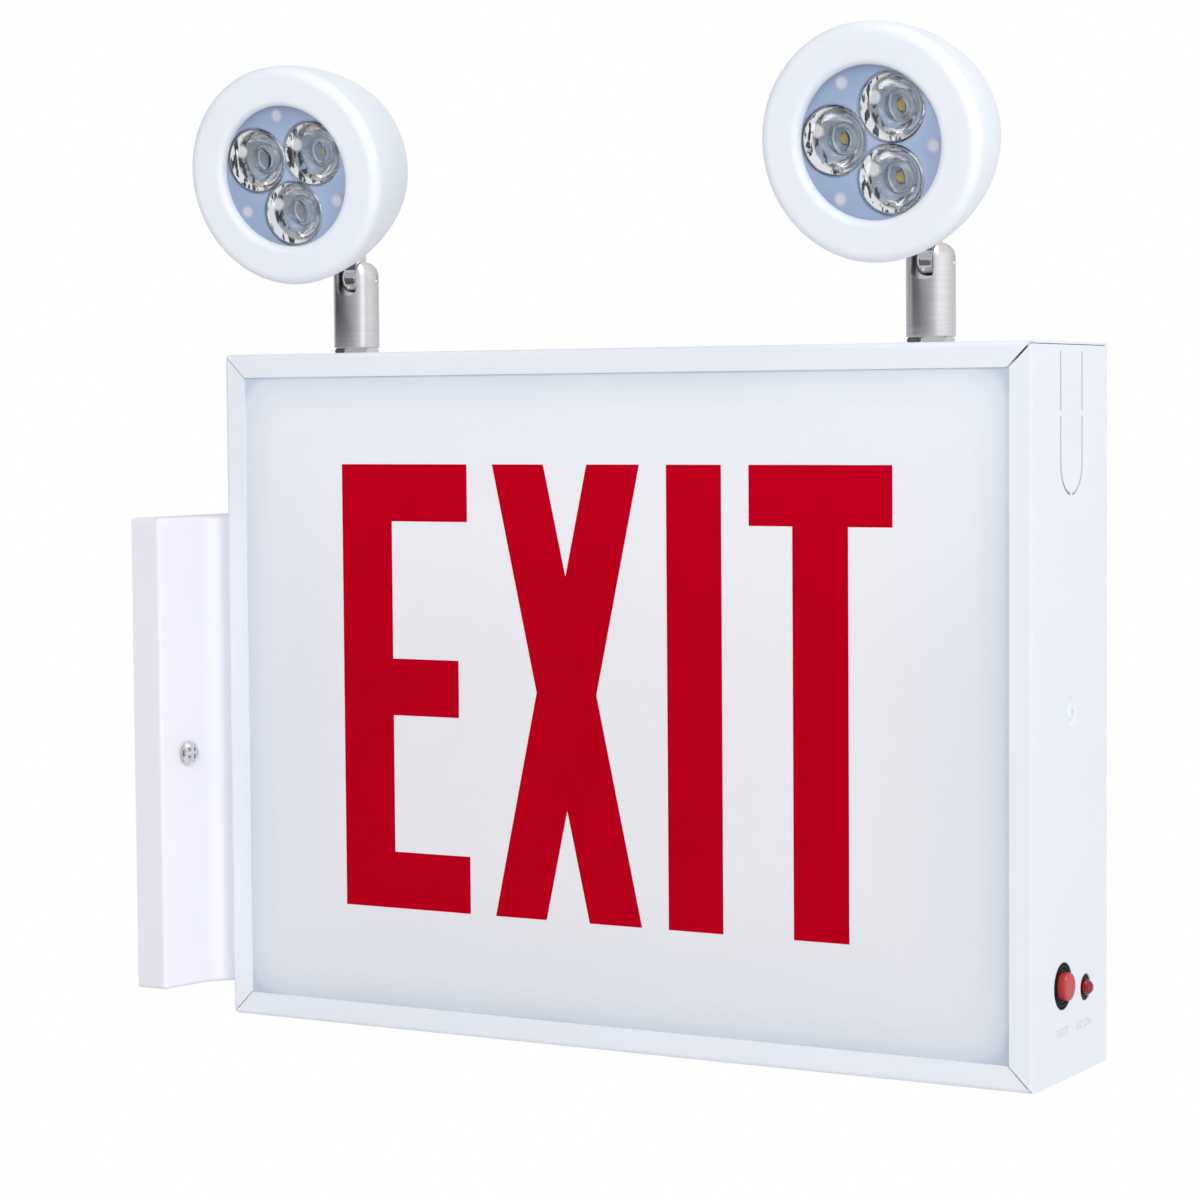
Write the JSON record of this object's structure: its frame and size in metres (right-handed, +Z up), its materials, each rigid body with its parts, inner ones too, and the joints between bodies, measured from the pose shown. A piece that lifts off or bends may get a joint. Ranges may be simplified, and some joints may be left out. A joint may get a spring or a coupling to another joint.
{
  "type": "emergency exit light",
  "caption": "Folded steel exit sign carried edge-on from a wall canopy, with two lamp heads on posts that swivel and tilt, a test button and a pilot lamp.",
  "frame": {"origin": "centre of the junction-box slots in the mounting bar, on the wall plane", "axes": "+X away from the wall along the sign, -Y out of the legend, +Z up"},
  "size_m": [0.4399, 0.1633, 0.4394],
  "materials": {
    "case_paint": "satin cool white enamel on folded steel",
    "panel_paint": "satin light grey printed acrylic sheet",
    "canopy_paint": "satin white enamel on pressed steel",
    "inside_paint": "plain white",
    "head_plastic": "gloss white",
    "post_nickel": "satin nickel",
    "nut_nickel": "polished nickel",
    "zinc": "bright zinc",
    "white_screw": "white painted head",
    "clear_lens": "clear moulded acrylic",
    "lamp_board": "white-masked aluminium disc",
    "strip_board": "white-masked circuit strip",
    "circuit_board": "green solder mask",
    "battery_case": "moulded black",
    "core_steel": "varnished laminations",
    "black_plastic": "moulded black",
    "red_button": "moulded red",
    "red_lens": "red lamp dome",
    "nylon": "natural nylon"
  },
  "bodies": {
    "housing": {"housing_shell": "case_paint", "end_cap": "case_paint", "back_panel": "case_paint", "end_cap_screw": "white_screw", "legend_panel": "panel_paint", "light_tray": "inside_paint", "battery": "battery_case", "battery_strap": "zinc", "transformer": "core_steel", "charger_board": "circuit_board", "board_standoffs": "nylon", "test_switch": "black_plastic", "pilot_holder": "black_plastic", "pilot_lamp": "red_lens", "canopy_cover": "canopy_paint", "canopy_screws": "nut_nickel", "mounting_bar": "zinc", "hub_nipple": "zinc", "hub_locknuts": "zinc", "hub_screws": "zinc", "led_strip_top": "strip_board", "led_strip_middle": "strip_board", "led_strip_bottom": "strip_board", "nipple_left": "zinc", "outer_locknut_left": "nut_nickel", "inner_locknut_left": "zinc", "nipple_right": "zinc", "outer_locknut_right": "nut_nickel", "inner_locknut_right": "zinc"},
    "test_button_body": {"test_button": "red_button"},
    "left_swivel": {"post_left": "post_nickel", "pivot_pin_left": "nut_nickel"},
    "left_lamp": {"knuckle_left": "post_nickel", "head_shell_left": "head_plastic", "head_back_left": "head_plastic", "head_screws_left": "zinc", "lens_array_left": "clear_lens", "led_board_left": "lamp_board", "knuckle_screw_left": "zinc"},
    "right_swivel": {"post_right": "post_nickel", "pivot_pin_right": "nut_nickel"},
    "right_lamp": {"knuckle_right": "post_nickel", "head_shell_right": "head_plastic", "head_back_right": "head_plastic", "head_screws_right": "zinc", "lens_array_right": "clear_lens", "led_board_right": "lamp_board", "knuckle_screw_right": "zinc"}
  },
  "joints": [
    {"name": "left_pan", "type": "hinge", "parent": "housing", "child": "left_swivel", "pos_m": [0.0883, -0.0161, 0.1855], "axis": [0, 0, 1], "range_deg": [-170, 170]},
    {"name": "left_tilt", "type": "hinge", "parent": "left_swivel", "child": "left_lamp", "pos_m": [0.0883, -0.0161, 0.2203], "axis": [0.9979, 0.0645, 0], "range_deg": [-80, 30]},
    {"name": "right_pan", "type": "hinge", "parent": "housing", "child": "right_swivel", "pos_m": [0.3797, -0.0161, 0.1855], "axis": [0, 0, 1], "range_deg": [-170, 170]},
    {"name": "right_tilt", "type": "hinge", "parent": "right_swivel", "child": "right_lamp", "pos_m": [0.3797, -0.0161, 0.2203], "axis": [1, 0.007, 0], "range_deg": [-80, 30]},
    {"name": "test_press", "type": "slide", "parent": "housing", "child": "test_button_body", "axis": [-1, 0, 0], "range_m": [0, 0.0025], "stiffness_N_per_m": 600, "springref_m": -0.002}
  ]
}
